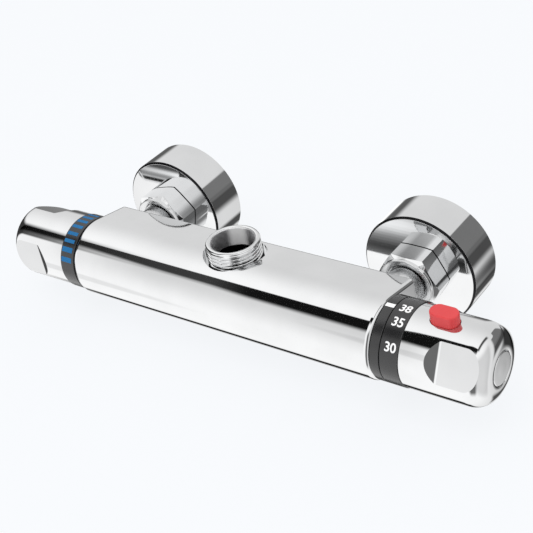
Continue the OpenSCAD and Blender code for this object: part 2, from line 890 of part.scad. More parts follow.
flow_fixed_disc();
flow_moving_disc();
flow_spindle();
flow_scale_ring();
flow_knob();
flow_knob_screw();
flow_end_cap();
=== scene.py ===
import math

import bpy
from mathutils import Matrix, Vector


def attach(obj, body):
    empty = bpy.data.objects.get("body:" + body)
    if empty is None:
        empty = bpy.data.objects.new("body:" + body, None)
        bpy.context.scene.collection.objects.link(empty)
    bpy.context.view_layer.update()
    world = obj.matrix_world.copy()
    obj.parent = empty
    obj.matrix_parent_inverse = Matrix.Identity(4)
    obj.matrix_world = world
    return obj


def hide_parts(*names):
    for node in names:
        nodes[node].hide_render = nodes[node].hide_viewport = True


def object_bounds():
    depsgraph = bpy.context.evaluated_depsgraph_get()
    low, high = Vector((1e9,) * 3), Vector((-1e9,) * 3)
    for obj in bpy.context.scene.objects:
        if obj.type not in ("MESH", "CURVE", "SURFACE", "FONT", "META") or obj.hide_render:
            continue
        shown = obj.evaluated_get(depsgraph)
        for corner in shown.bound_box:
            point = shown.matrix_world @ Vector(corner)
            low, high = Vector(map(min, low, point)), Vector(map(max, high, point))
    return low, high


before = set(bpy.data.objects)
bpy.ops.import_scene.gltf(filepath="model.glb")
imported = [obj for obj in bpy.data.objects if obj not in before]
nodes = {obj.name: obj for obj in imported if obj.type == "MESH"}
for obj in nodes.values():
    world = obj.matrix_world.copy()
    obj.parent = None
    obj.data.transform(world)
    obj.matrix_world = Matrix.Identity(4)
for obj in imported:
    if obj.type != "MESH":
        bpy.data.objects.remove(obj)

cad_low, cad_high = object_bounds()
mm = 0.001


# The bar. One brass casting, D-shaped in section, ground, polished and chrome
# plated. A cartridge is pushed into each end and the outlet screws into the top.

AXIS_BACK = -70 * mm
AXIS_UP = 6 * mm
BAR_LEFT = -85.5 * mm
BAR_RIGHT = 88.5 * mm
BAR_R = 20
BAR_BACK = 25
TOP_SLOPE = 11
BAR_EDGE = 2.4
BACK_CROWN = 1.0
CROWN_ANGLE = 7
FRONT_STEP = 1.5
FRONT_STEPS = 135
CORNER_STEPS = 12
CROWN_STEPS = 16
CARTRIDGE_BORES = ((1, 24, 14.2, 80), (-1, 44, 13.2, 60))
OUTLET = Vector((1.5, -63.5, 0)) * mm
RECESS_R = 15.3
RECESS_FLOOR = 18.5
WATERWAY_R = 10.6
WATERWAY_FLOOR = 10
INLET_X = 75
INLET_BORE_R = 9.05
WELD = 0.002 * mm


class Value:
    """One socket of a material. Sums written on it add their Math nodes."""

    def __init__(self, tree, socket):
        self.tree, self.socket = tree, socket

    def node(self, kind, settings=None, inputs=None, output=0):
        made = self.tree.nodes.new(kind)
        for name, setting in (settings or {}).items():
            setattr(made, name, setting)
        for name, value in (inputs or {}).items():
            if isinstance(value, Value):
                self.tree.links.new(value.socket, made.inputs[name])
            else:
                made.inputs[name].default_value = value
        return Value(self.tree, made.outputs[output])

    def math(self, operation, a, b=0.0):
        return self.node("ShaderNodeMath", {"operation": operation}, {0: a, 1: b})

    def __add__(self, other):
        return self.math("ADD", self, other)

    def __sub__(self, other):
        return self.math("SUBTRACT", self, other)

    def __mul__(self, other):
        return self.math("MULTIPLY", self, other)

    def __truediv__(self, other):
        return self.math("DIVIDE", self, other)

    def __rsub__(self, other):
        return self.math("SUBTRACT", other, self)

    __radd__ = __add__
    __rmul__ = __mul__

    def rise(self, low, high):
        """0 below low, 1 above high, and a smooth step between"""
        return self.node("ShaderNodeMapRange", {"interpolation_type": "SMOOTHSTEP"},
                         {"Value": self, "From Min": low, "From Max": high})

    def part(self, index):
        """The X, Y or Z of a vector"""
        return self.node("ShaderNodeSeparateXYZ", None, {0: self}, index)

    def noise(self, scale, detail=2.0, stretch=None):
        """A cloudy value between 0 and 1, finer with a higher scale"""
        place = self
        if stretch:
            place = self.node("ShaderNodeMapping", None, {"Vector": self, "Scale": stretch})
        return self.node("ShaderNodeTexNoise", None,
                         {"Vector": place, "Scale": scale, "Detail": detail})

    def mix(self, first, second):
        """A colour between two, by this value"""
        blend = self.tree.nodes.new("ShaderNodeMix")
        blend.data_type = "RGBA"
        for socket, colour in ((6, first), (7, second)):
            if isinstance(colour, Value):
                self.tree.links.new(colour.socket, blend.inputs[socket])
            else:
                blend.inputs[socket].default_value = (*colour, 1)
        self.tree.links.new(self.socket, blend.inputs[0])
        return Value(self.tree, blend.outputs[2])


def new_material(name):
    """An empty finish: the material, its shader, and the place on the piece"""
    made = bpy.data.materials.new(name)
    made.use_nodes = True
    tree = made.node_tree
    place = Value(tree, tree.nodes.new("ShaderNodeTexCoord").outputs["Object"])
    return made, tree.nodes["Principled BSDF"], place


def wear(shader, **inputs):
    """Sets or links the shader's own sockets"""
    for name, value in inputs.items():
        socket = shader.inputs[name.replace("_", " ")]
        if isinstance(value, Value):
            value.tree.links.new(value.socket, socket)
        else:
            socket.default_value = value


def bumped(height, depth):
    """A normal bent by a height, depth in metres"""
    return height.node("ShaderNodeBump", None, {"Strength": 1.0, "Distance": depth, "Height": height})


def plated(name, dark, light, rough):
    """Nickel and chrome over polished metal: almost a mirror, with faint polishing haze"""
    made, shader, place = new_material(name)
    haze = place.noise(45.0, 3.0)
    grain = place.noise(900.0, 2.0)
    wear(shader, Base_Color=haze.rise(0.3, 0.7).mix(dark, light), Metallic=1.0,
         Roughness=rough + haze * 0.02 + grain * 0.015,
         Normal=bumped(place.noise(70.0, 1.0), 0.004 * mm))
    return made


def machined(name, dark, light, rough):
    """Turned metal: a soft shine with fine tool marks and a little staining"""
    made, shader, place = new_material(name)
    stain = place.noise(90.0, 4.0)
    marks = place.noise(1500.0, 2.0)
    wear(shader, Base_Color=stain.rise(0.25, 0.75).mix(dark, light), Metallic=1.0,
         Roughness=rough + stain * 0.12 + marks * 0.06, Normal=bumped(marks, 0.004 * mm))
    return made


chrome = plated("chrome", (0.755, 0.76, 0.765), (0.795, 0.80, 0.805), 0.03)
satin = plated("satin_chrome", (0.71, 0.715, 0.72), (0.76, 0.765, 0.77), 0.2)
# A near-black metal that paints shade and dark lines on the outlet's waterway, the spigot's foot, the nuts'
# rear edges and the shrouds' rims
painted_shade_metal = machined("painted_shade_metal", (0.012, 0.012, 0.013), (0.03, 0.03, 0.032), 0.3)


def alone(piece):
    """Makes the piece the only one selected"""
    bpy.ops.object.select_all(action="DESELECT")
    piece.select_set(True)
    bpy.context.view_layer.objects.active = piece


def line_of(name, points):
    """Edges drawn from point to point, each pulled out of the last"""
    bpy.ops.object.select_all(action="DESELECT")
    bpy.ops.mesh.primitive_plane_add(size=mm, location=points[0])
    piece = bpy.context.object
    piece.name = piece.data.name = name
    bpy.ops.object.transform_apply()
    bpy.ops.object.mode_set(mode="EDIT")
    bpy.ops.mesh.merge(type="CENTER")
    for here, there in zip(points, points[1:]):
        bpy.ops.mesh.extrude_region_move(TRANSFORM_OT_translate={"value": there - here})
    bpy.ops.mesh.select_all(action="SELECT")
    return piece


def turned(name, outline, foot, along, steps=128):
    """A closed outline of (radius, height) pairs in mm, spun about the axis that leaves foot"""
    along = Vector(along)
    out = along.orthogonal().normalized()
    points = [foot + out * r * mm + along * h * mm for r, h in outline]
    piece = line_of(name, points + points[:1])
    bpy.ops.mesh.spin(steps=steps, angle=2 * math.pi, center=foot, axis=along)
    bpy.ops.mesh.select_all(action="SELECT")
    bpy.ops.mesh.remove_doubles(threshold=WELD)
    bpy.ops.mesh.normals_make_consistent(inside=False)
    bpy.ops.object.mode_set(mode="OBJECT")
    return piece


def arc(r, h, size, start, end, parts=8):
    """Points of a rounding about (r, h), from one angle to another"""
    steps = [math.radians(start + (end - start) * i / parts) for i in range(parts + 1)]
    return [(r + size * math.cos(a), h + size * math.sin(a)) for a in steps]


def apply(piece, kind, **settings):
    """Adds a modifier to the piece and applies it"""
    alone(piece)
    tool = piece.modifiers.new(kind.lower(), kind)
    for name, setting in settings.items():
        setattr(tool, name, setting)
    bpy.ops.object.modifier_apply(modifier=tool.name)


def cut(piece, cutter, operation="DIFFERENCE"):
    """Cuts the piece with a closed form, which is used up"""
    apply(piece, "BOOLEAN", operation=operation, solver="EXACT", object=cutter)
    bpy.data.objects.remove(cutter)


def drill(piece, foot, along, radius, depth):
    """A round hole from foot along a direction, mm"""
    along = Vector(along)
    bpy.ops.object.select_all(action="DESELECT")
    bpy.ops.mesh.primitive_cylinder_add(vertices=128, radius=radius * mm, depth=depth * mm,
                                        location=foot + along * depth * mm / 2,
                                        rotation=along.to_track_quat("Z", "Y").to_euler())
    cut(piece, bpy.context.object)


def pick_edges(piece, wanted):
    """Opens the piece for editing with only the edges selected whose two ends pass"""
    alone(piece)
    bpy.ops.object.mode_set(mode="EDIT")
    bpy.ops.mesh.select_mode(type="EDGE")
    bpy.ops.mesh.select_all(action="DESELECT")
    bpy.ops.object.mode_set(mode="OBJECT")
    for edge in piece.data.edges:
        a, b = (piece.data.vertices[i].co for i in edge.vertices)
        edge.select = wanted(a, b)
    bpy.ops.object.mode_set(mode="EDIT")


def polished(piece, material, crease=30):
    """Smooth shading up to a crease, with the broad faces kept flat, and its finish"""
    alone(piece)
    bpy.ops.object.shade_smooth_by_angle(angle=math.radians(crease))
    apply(piece, "WEIGHTED_NORMAL", keep_sharp=True, weight=70)
    piece.data.materials.clear()
    piece.data.materials.append(material)


def paint_shade_or_finish(piece, wanted, shade_or_finish=painted_shade_metal):
    """Gives the faces that pass a second finish: by default the near-black metal that paints shade on them,
    otherwise the finish named
    """
    piece.data.materials.append(shade_or_finish)
    for face in piece.data.polygons:
        if wanted(face):
            face.material_index = len(piece.data.materials) - 1


def round_the_bar(radius, phi):
    """Offsets back and up from the bar axis, at an angle from the top towards the front"""
    return (-radius * math.sin(math.radians(phi)), radius * math.cos(math.radians(phi)))


def bar_outline():
    """The D of the bar's left end: round front, lower corner, crowned back and upper corner"""
    slope = math.radians(TOP_SLOPE)
    corner_back = BAR_BACK - BACK_CROWN - BAR_EDGE
    corner_up = (BAR_R - BAR_EDGE - math.sin(slope) * corner_back) / math.cos(slope)

    def corner(side, start, end):
        steps = [start + (end - start) * i / CORNER_STEPS for i in range(CORNER_STEPS + 1)]
        return [(y + corner_back, z + side * corner_up)
                for y, z in (round_the_bar(BAR_EDGE, phi) for phi in steps)]

    front = [round_the_bar(BAR_R, i * FRONT_STEP - TOP_SLOPE) for i in range(FRONT_STEPS + 1)]
    heights = [corner_up * (i / (CROWN_STEPS / 2) - 1) for i in range(1, CROWN_STEPS)]
    back = [(BAR_BACK - BACK_CROWN + BACK_CROWN * (1 - (up / corner_up) ** 2), up) for up in heights]
    points = (front + corner(-1, 180 + TOP_SLOPE, 270 - CROWN_ANGLE)
              + back + corner(1, 270 + CROWN_ANGLE, 360 - TOP_SLOPE))
    return [Vector((0, y, z)) * mm + Vector((BAR_LEFT, AXIS_BACK, AXIS_UP)) for y, z in points]


outline = bar_outline()
bar = line_of("bar_body", outline + outline[:1])
bpy.ops.mesh.remove_doubles(threshold=WELD)
bpy.ops.mesh.edge_face_add()
bpy.ops.mesh.extrude_region_move(TRANSFORM_OT_translate={"value": (BAR_RIGHT - BAR_LEFT, 0, 0)})
bpy.ops.object.mode_set(mode="OBJECT")
pick_edges(bar, lambda a, b: abs(a.x - b.x) < 0.01 * mm)
bpy.ops.mesh.bevel(offset=BAR_EDGE * mm, segments=10, profile=0.5, clamp_overlap=False)
bpy.ops.mesh.select_all(action="SELECT")
bpy.ops.mesh.remove_doubles(threshold=0.005 * mm)
bpy.ops.mesh.normals_make_consistent(inside=False)
bpy.ops.mesh.select_mode(type="VERT")
bpy.ops.object.mode_set(mode="OBJECT")

for side, start, radius, depth in CARTRIDGE_BORES:
    drill(bar, Vector((side * start * mm, AXIS_BACK, AXIS_UP)), (side, 0, 0), radius, depth)
for radius, bottom in ((RECESS_R, RECESS_FLOOR), (WATERWAY_R, WATERWAY_FLOOR)):
    drill(bar, OUTLET + Vector((0, 0, bottom * mm)), (0, 0, 1), radius, 20)
for side in (-1, 1):
    drill(bar, Vector((side * INLET_X * mm, -44 * mm, AXIS_UP)), (0, -1, 0), INLET_BORE_R, 9)
polished(bar, chrome)
# The outlet's waterway below the recess is painted near-black, as shade
paint_shade_or_finish(bar, lambda face: (WATERWAY_FLOOR - 1) * mm < face.center.z < (RECESS_FLOOR - 0.1) * mm
           and (face.center.xy - OUTLET.xy).length < (WATERWAY_R + 0.1) * mm)
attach(bar, "valve")
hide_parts("valve_body")


# The outlet. A brass spigot with a three-quarter-inch pipe thread, screwed into
# the floor of a round recess and plated with the bar. A rubber ring seals it.

THREAD_PITCH = 1.814
THREAD_DEPTH = 1.162
THREAD_FLAT = 0.14
THREAD_ROUND = 0.4
SPIGOT_R = 13.22
SPIGOT_BORE_R = 10.6
SPIGOT_TOP = 32.0
UNDERCUT_TOP = 22.4
# The height below which the bore is painted near-black, as shade
PAINTED_SHADE_TOP = 22.3
# The side of the bore that is painted lighter and less metallic, as a highlight
PAINTED_HIGHLIGHT_SIDE = Vector((-0.43, 0.9, 0))


def thread(piece, foot, along, crest, low, high, fade_low, fade_high):
    """Sinks the grooves of a pipe thread into the outside between low and high, mm along"""
    along = Vector(along)
    out = along.orthogonal().normalized()
    across = along.cross(out)
    for vertex in piece.data.vertices:
        arm = vertex.co - foot
        height = arm.dot(along) / mm
        arm -= along * arm.dot(along)
        radius = arm.length / mm
        if not low < height < high or abs(radius - crest) > 0.02:
            continue
        turn = math.atan2(arm.dot(across), arm.dot(out)) / (2 * math.pi)
        phase = (height / THREAD_PITCH - turn) % 1
        groove = 1 - abs(phase - 0.5) * 2
        groove = min(max((groove - THREAD_FLAT) / (1 - 2 * THREAD_FLAT), 0), 1)
        smooth = groove * groove * (3 - 2 * groove)
        groove = smooth * THREAD_ROUND + groove * (1 - THREAD_ROUND)
        fade = min((height - low) / fade_low, (high - height) / fade_high, 1)
        vertex.co -= arm.normalized() * groove * THREAD_DEPTH * fade * mm


spigot_foot = [(SPIGOT_BORE_R, 14), (12, 14), (12, 18.1), (11.62, RECESS_FLOOR), (11.62, 20.6),
               (12.3, 20.65), (13.0, 20.9)]
spigot_outside = [(SPIGOT_R, 21.1 + 0.151 * i) for i in range(69)]
spigot_rim = ([(12.9, 31.7), (12.6, SPIGOT_TOP)] + arc(11.95, 31.75, 0.45, 60, 120, 4)
              + [(11.2, SPIGOT_TOP), (10.75, 31.6), (SPIGOT_BORE_R, 31.2)])
spigot = turned("outlet_thread", spigot_foot + spigot_outside + spigot_rim, OUTLET, (0, 0, 1), 160)
thread(spigot, OUTLET, (0, 0, 1), SPIGOT_R, 20.95, 31.5, 0.8, 1.2)

# The spigot's finish paints light into its bore: a lighter, less metallic streak on its rear side is a
# painted highlight, and the bore's lower part is painted near-black as shade.
spigot_chrome_painted_light, spigot_shader, spigot_place = new_material("spigot_chrome_painted_light")
spoke = spigot_place.node("ShaderNodeMapping", None, {"Vector": spigot_place, "Location": -OUTLET,
                                                      "Scale": (1, 1, 0)})
from_axis = spoke.node("ShaderNodeVectorMath", {"operation": "LENGTH"}, {0: spoke}, 1)
toward_painted_highlight = spoke.node("ShaderNodeVectorMath", {"operation": "DOT_PRODUCT"}, {0: spoke, 1: PAINTED_HIGHLIGHT_SIDE}, 1)
in_bore = 1 - from_axis.rise((SPIGOT_BORE_R + 0.2) * mm, (SPIGOT_BORE_R + 0.5) * mm)
# The bore's lower part is painted near-black, as shade
painted_bore_shade = in_bore * (1 - spigot_place.part(2).rise((PAINTED_SHADE_TOP - 0.4) * mm, (PAINTED_SHADE_TOP + 0.3) * mm))
painted_highlight = in_bore * (toward_painted_highlight / from_axis).rise(0.84, 0.985) * (1 - painted_bore_shade)
bore_marks = spigot_place.noise(600.0, 2.0, (1, 1, 6))
bore_haze = spigot_place.noise(45.0, 3.0)
plating = in_bore.mix((0.775, 0.78, 0.785), (0.82, 0.82, 0.83))
wear(spigot_shader, Metallic=1 - painted_highlight * 0.85,
     Base_Color=painted_bore_shade.mix(painted_highlight.mix(plating, (0.92, 0.92, 0.92)), (0.015, 0.015, 0.016)),
     Roughness=0.04 + bore_haze * 0.03 + in_bore * (0.36 + bore_marks * 0.06))
polished(spigot, spigot_chrome_painted_light, 50)
# The spigot's foot below the thread is painted near-black, as shade
paint_shade_or_finish(spigot, lambda face: face.center.z < UNDERCUT_TOP * mm
           and (face.center.xy - OUTLET.xy).length > 11 * mm)
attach(spigot, "valve")
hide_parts("outlet_spigot")


def moulded(name, dark, light, rough, grain, depth, ior=1.5):
    """Plastic or rubber from a mould: cloudy colour and a fine spark-worn grain"""
    made, shader, place = new_material(name)
    cloud = place.noise(60.0, 3.0)
    pits = place.noise(grain, 3.0)
    wear(shader, Base_Color=cloud.rise(0.3, 0.7).mix(dark, light),
         Roughness=rough + pits * 0.1 + cloud * 0.05, Normal=bumped(pits, depth * mm), IOR=ior)
    return made


def finish(material, *names):
    """Gives CAD nodes that stay as they are a finish"""
    for name in names:
        nodes[name].data.materials.clear()
        nodes[name].data.materials.append(material)


rubber = moulded("rubber", (0.012, 0.012, 0.012), (0.02, 0.02, 0.02), 0.5, 1800.0, 0.01)
finish(rubber, "outlet_seal")


# The two wall connections. Each is a brass tail out of the bar, a hexagon union
# nut, an offset union screwed into the wall, and a loose pressed round shroud.

INLETS = {"hot": (-1, 75), "cold": (1, 59)}
NUT_FLATS = 29
NUT_PARTS = 16
NUT_LOW = 21.2
NUT_HIGH = 34.2
NUT_HALF = 8.12
NUT_LEVEL = 2.5
NUT_CROWN = 0.0136
NUT_EDGE = 0.4
NUT_MOUTH_R = 10.5
SHROUD_R = 29.2
SHROUD_BEVEL = 20.15
UNION_THREAD_R = 10.48
UNION_HEAD_R = 13.22
UNION_STEPS = 96

brass = machined("brass", (0.62, 0.43, 0.17), (0.78, 0.58, 0.27), 0.16)
stainless = machined("stainless", (0.48, 0.48, 0.47), (0.6, 0.6, 0.59), 0.2)
white_plastic = moulded("white_plastic", (0.72, 0.71, 0.67), (0.8, 0.79, 0.75), 0.35, 1500.0, 0.006)

for inlet, (side, phase) in INLETS.items():
    foot = Vector((side * INLET_X * mm, 0, AXIS_UP))
    wall = foot - Vector((0, 0, AXIS_UP))
    out = Vector((0, -1, 0))

    tail = turned(inlet + "_tail", [(7.5, 28.2), (12.5, 28.2)] + arc(12.5, 28.6, 0.4, -90, 0, 3)
                  + arc(12.5, 30.3, 0.4, 0, 90, 3) + [(10.2, 30.7)] + arc(10.2, 31.1, 0.4, 270, 180, 3)
                  + [(9.8, 45.2), (8.9, 45.4), (8.9, 49.2), (8.6, 49.5), (7.5, 49.5)], foot, out)
    polished(tail, satin)
    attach(tail, "valve")
    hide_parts(inlet + "_inlet_tail")

    bpy.ops.object.select_all(action="DESELECT")
    bpy.ops.mesh.primitive_cylinder_add(
        vertices=6 * NUT_PARTS, radius=NUT_FLATS / 2 * mm, depth=(NUT_HIGH - NUT_LOW - NUT_EDGE) * mm,
        location=foot + out * (NUT_LOW + NUT_EDGE + NUT_HIGH) / 2 * mm, rotation=(math.pi / 2, 0, 0))
    nut = bpy.context.object
    nut.name = nut.data.name = inlet + "_nut"
    bpy.ops.object.transform_apply()
    for vertex in nut.data.vertices:
        arm = vertex.co - foot
        part = round(math.degrees(math.atan2(arm.z, arm.x)) / (60 / NUT_PARTS))
        flank = NUT_HALF * (part % NUT_PARTS / (NUT_PARTS / 2) - 1)
        depth = NUT_FLATS / 2 - NUT_CROWN * max(abs(flank) - NUT_LEVEL, 0) ** 2
        corner = math.radians(phase + 60 * (part // NUT_PARTS))
        middle = corner + math.radians(30)
        vertex.co.x = foot.x + (depth * math.cos(middle) - flank * math.sin(middle)) * mm
        vertex.co.z = foot.z + (depth * math.sin(middle) + flank * math.cos(middle)) * mm
    alone(nut)
    bpy.ops.object.mode_set(mode="EDIT")
    bpy.ops.mesh.select_mode(type="FACE")
    bpy.ops.mesh.select_all(action="DESELECT")
    bpy.ops.object.mode_set(mode="OBJECT")
    for face in nut.data.polygons:
        face.select = face.normal.y > 0.9
    bpy.ops.object.mode_set(mode="EDIT")
    bpy.ops.mesh.extrude_region_move(TRANSFORM_OT_translate={"value": -out * NUT_EDGE * mm})
    bpy.ops.transform.resize(value=(0.97, 1, 0.97), center_override=foot)
    bpy.ops.mesh.select_all(action="SELECT")
    bpy.ops.mesh.normals_make_consistent(inside=False)
    bpy.ops.mesh.select_mode(type="VERT")
    bpy.ops.object.mode_set(mode="OBJECT")
    cone = turned("nut_cone", [(13.3, NUT_LOW), (15.4, NUT_LOW), (16.9, NUT_LOW + 0.8),
                               (16.9, NUT_HIGH - 3.4), (13.9, NUT_HIGH - 1.7)]
                  + arc(13.4, NUT_HIGH - 0.4, 0.4, 0, 90, 4)
                  + [(13.2, NUT_HIGH - 0.08), (11, NUT_HIGH - 1), (NUT_MOUTH_R, NUT_HIGH - 1.4),
                     (NUT_MOUTH_R, NUT_LOW + 9.5), (13.3, NUT_LOW + 9.5)], foot, out, 144)
    cut(nut, cone, "INTERSECT")
    apply(nut, "BEVEL", width=0.22 * mm, segments=3, limit_method="ANGLE",
          angle_limit=math.radians(38), use_clamp_overlap=True)
    polished(nut, chrome, 35)
    # The nut's rear outer edge is painted near-black, as a line of shade
    paint_shade_or_finish(nut, lambda face: face.center.y > -(NUT_LOW + NUT_EDGE + 0.02) * mm and face.normal.y < 0.9
               and (face.center - foot).xz.length > 13.5 * mm)
    paint_shade_or_finish(nut, lambda face: face.center.y < -(NUT_HIGH - 1.6) * mm
               and (face.center - foot).xz.length < 13.3 * mm, satin)
    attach(nut, "valve")
    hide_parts(inlet + "_union_nut")

    shroud = turned(inlet + "_shroud", [(SHROUD_R, 0.15), (SHROUD_R, SHROUD_BEVEL)]
                    + arc(SHROUD_R - 0.25, SHROUD_BEVEL, 0.25, 0, 45, 3)
                    + arc(SHROUD_R - 1.05, SHROUD_BEVEL + 0.8, 0.25, 45, 90, 3)
                    + arc(13.8, 20.92, 0.28, 90, 180, 3)
                    + [(13.52, SHROUD_BEVEL), (28, 20.0), (28, 0), (SHROUD_R - 0.15, 0)], foot, out, 160)
    polished(shroud, chrome)
    # The bevel round the shroud's rim is painted near-black, as a dark line of shade and reflection
    paint_shade_or_finish(shroud, lambda face: -(SHROUD_BEVEL + 1) * mm < face.center.y < -(SHROUD_BEVEL + 0.05) * mm
               and (face.center - foot).xz.length > (SHROUD_R - 1) * mm)
    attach(shroud, "valve")
    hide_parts(inlet + "_wall_shroud")

    finish(rubber, inlet + "_inlet_washer")
    finish(stainless, inlet + "_filter_screen", inlet + "_check_spring")
    finish(white_plastic, inlet + "_check_body")

    stub = turned(inlet + "_union", [(5, -14), (9.6, -14), (10.1, -13.6)]
                  + [(UNION_THREAD_R, -13.4 + 0.2 * i) for i in range(87)]
                  + [(UNION_THREAD_R, 10.4), (5, 10.4)], wall, out, UNION_STEPS)
    head = turned("union_head", [(5, 8.9), (UNION_HEAD_R, 8.9), (UNION_HEAD_R, 25.8), (12.9, 26.2),
                                 (5, 26.2)], foot, out, UNION_STEPS)
    cut(stub, head, "UNION")
    for middle in (foot, wall):
        bpy.ops.object.select_all(action="DESELECT")
        bpy.ops.mesh.primitive_cylinder_add(
            vertices=UNION_STEPS, radius=(UNION_HEAD_R + 0.4) * mm, depth=8 * mm,
            location=middle + out * 8 * mm, rotation=(math.pi / 2, 0, 0))
        cut(stub, bpy.context.object, "UNION")
    drill(stub, foot + out * 9 * mm, out, 9.5, 20)
    drill(stub, wall - out * 15 * mm, out, 8, 25.5)
    thread(stub, wall, out, UNION_THREAD_R, -13.5, 3.9, 1.5, 2.5)
    polished(stub, brass, 40)
    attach(stub, "valve")
    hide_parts(inlet + "_offset_union")


# The pointer ring. Dark moulded plastic, clipped over the nose of the cartridge
# against the end of the bar, with one painted mark that the numbers pass.

black = moulded("black_plastic", (0.012, 0.012, 0.013), (0.022, 0.022, 0.023), 0.17, 1400.0, 0.0015, 1.6)
PHI_READ = 5
RING_R = 19.3
PRINT_THICK = 0.1


def on_bar(x):
    """The point of the bar's axis at x, mm"""
    return Vector((x * mm, AXIS_BACK, AXIS_UP))


pointer = turned("pointer_ring", [(11.65, 88.5), (15.1, 88.5), (15.1, 91.3), (17.5, 91.3), (17.5, 88.5)]
                 + arc(RING_R - 0.4, 88.9, 0.4, -90, 0, 4) + arc(RING_R - 0.3, 92.8, 0.3, 0, 90, 4)
                 + [(11.65, 93.1)], on_bar(0), (1, 0, 0), 160)
polished(pointer, black)
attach(pointer, "valve")
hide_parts("pointer_ring")
finish(black, "hot_check_poppet", "cold_check_poppet")

paint = moulded("white_paint", (0.86, 0.86, 0.86), (0.92, 0.92, 0.92), 0.4, 900.0, 0.003)


def wrapped(piece, radius):
    """Rolls a flat drawing round the bar: its X stays along the bar, its Y runs up and back
    round the surface from angle 0, and its Z stands off the surface"""
    for vertex in piece.data.vertices:
        along, round_mm, off = vertex.co / mm
        phi = -math.degrees(round_mm / radius)
        back, up = round_the_bar(radius + off, phi)
        vertex.co = Vector((along * mm, AXIS_BACK + back * mm, AXIS_UP + up * mm))


def patch(name, x_low, x_high, phi_low, phi_high):
    """A thin printed area on a ring"""
    bpy.ops.object.select_all(action="DESELECT")
    bpy.ops.mesh.primitive_cube_add(size=1)
    piece = bpy.context.object
    piece.name = piece.data.name = name
    width = math.radians(phi_high - phi_low) * RING_R
    middle = -math.radians(phi_high + phi_low) / 2 * RING_R
    piece.scale = ((x_high - x_low) * mm, width * mm, PRINT_THICK * mm)
    piece.location = ((x_low + x_high) / 2 * mm, middle * mm, 0)
    bpy.ops.object.transform_apply()
    bpy.ops.object.mode_set(mode="EDIT")
    bpy.ops.mesh.subdivide(number_cuts=7)
    bpy.ops.object.mode_set(mode="OBJECT")
    wrapped(piece, RING_R)
    return piece


mark = patch("reading_mark", 88.7, 93.0, PHI_READ - 3.25, PHI_READ + 3.25)
polished(mark, paint, 40)
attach(mark, "valve")


# The thermostatic cartridge. A brass housing with a sliding shuttle, a copper wax
# capsule, a pusher and a spindle, sealed by rubber rings in the bar's right bore.

copper = machined("copper", (0.62, 0.33, 0.2), (0.78, 0.47, 0.32), 0.2)
finish(brass, "thermostat_housing", "thermostat_shuttle", "temp_spindle")
finish(rubber, "thermostat_o_rings")
finish(stainless, "thermostat_spring", "thermostat_pusher", "temp_knob_screw", "override_spring")
finish(white_plastic, "stop_ring")
finish(copper, "wax_element")


# The temperature scale. A dark moulded sleeve clipped into the handle, turning
# with it, with the temperatures printed in white.

RIGHT = (1, 0, 0)
DIGIT_HEIGHT = 4.3
DIGIT_SHARE = 0.73
NUMBER_X = 98.4
NUMBERS = {"38": 3.9, "35": 26.5, "30": 60.2}


def scale_ring(name, start, along):
    """The sleeve between bar and handle, with a spigot that clips into the handle"""
    ring = turned(name, [(15.97, start)] + arc(RING_R - 0.3, start + 0.3, 0.3, -90, 0, 4)
                  + arc(RING_R - 0.2, start + 8.7, 0.2, 0, 90, 3)
                  + [(16.82, start + 8.9), (16.82, start + 10.9), (16.6, start + 11.1),
                     (15.97, start + 11.1)], on_bar(0), along, 160)
    polished(ring, black)
    return ring


scale = scale_ring("temp_scale_ring", 93.4, RIGHT)
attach(scale, "temp_handle")
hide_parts("temp_scale_ring")

for number, phi in NUMBERS.items():
    bpy.ops.object.select_all(action="DESELECT")
    bpy.ops.object.text_add()
    word = bpy.context.object
    word.data.body = number
    word.data.size = DIGIT_HEIGHT / DIGIT_SHARE * mm
    word.data.offset = 0.11 * mm
    word.data.space_character = 0.97
    word.data.align_x = "CENTER"
    word.data.align_y = "CENTER"
    word.data.extrude = 0.06 * mm
    word.data.resolution_u = 6
    bpy.ops.object.convert(target="MESH")
    word = bpy.context.object
    word.name = word.data.name = "number_" + number
    xs = [v.co.x for v in word.data.vertices]
    ys = [v.co.y for v in word.data.vertices]
    centre = Vector(((max(xs) + min(xs)) / 2, (max(ys) + min(ys)) / 2, 0))
    place = Vector((NUMBER_X * mm, -math.radians(phi) * RING_R * mm, 0))
    word.data.transform(Matrix.Translation(place) @ Matrix.Diagonal((0.99, 1, 1, 1))
                        @ Matrix.Translation(-centre))
    wrapped(word, RING_R)
    polished(word, paint, 40)
    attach(word, "temp_handle")


# The temperature handle. A hollow plated shell with three finger flats, held by
# one screw under a round disc, with the red safety button through its wall.

TEMP_FOOT_X = 102.3
KNOB_R = 18.9
KNOB_LEN = 38.8
KNOB_END = 9.5
FLAT_FROM_AXIS = 16.4
FLAT_START = 17.2
FLAT_HALF = 20
RAMP_LEN = 5.2
RAMP_SOFT = 3.0
RAMP_STEPS = 12
DISC_FLOOR = 37.2
BUTTON_X = 117
BUTTON_LEN = 13.2
BUTTON_WIDTH = 8
BUTTON_FOOT = 13.9
BUTTON_GAP = 0.3


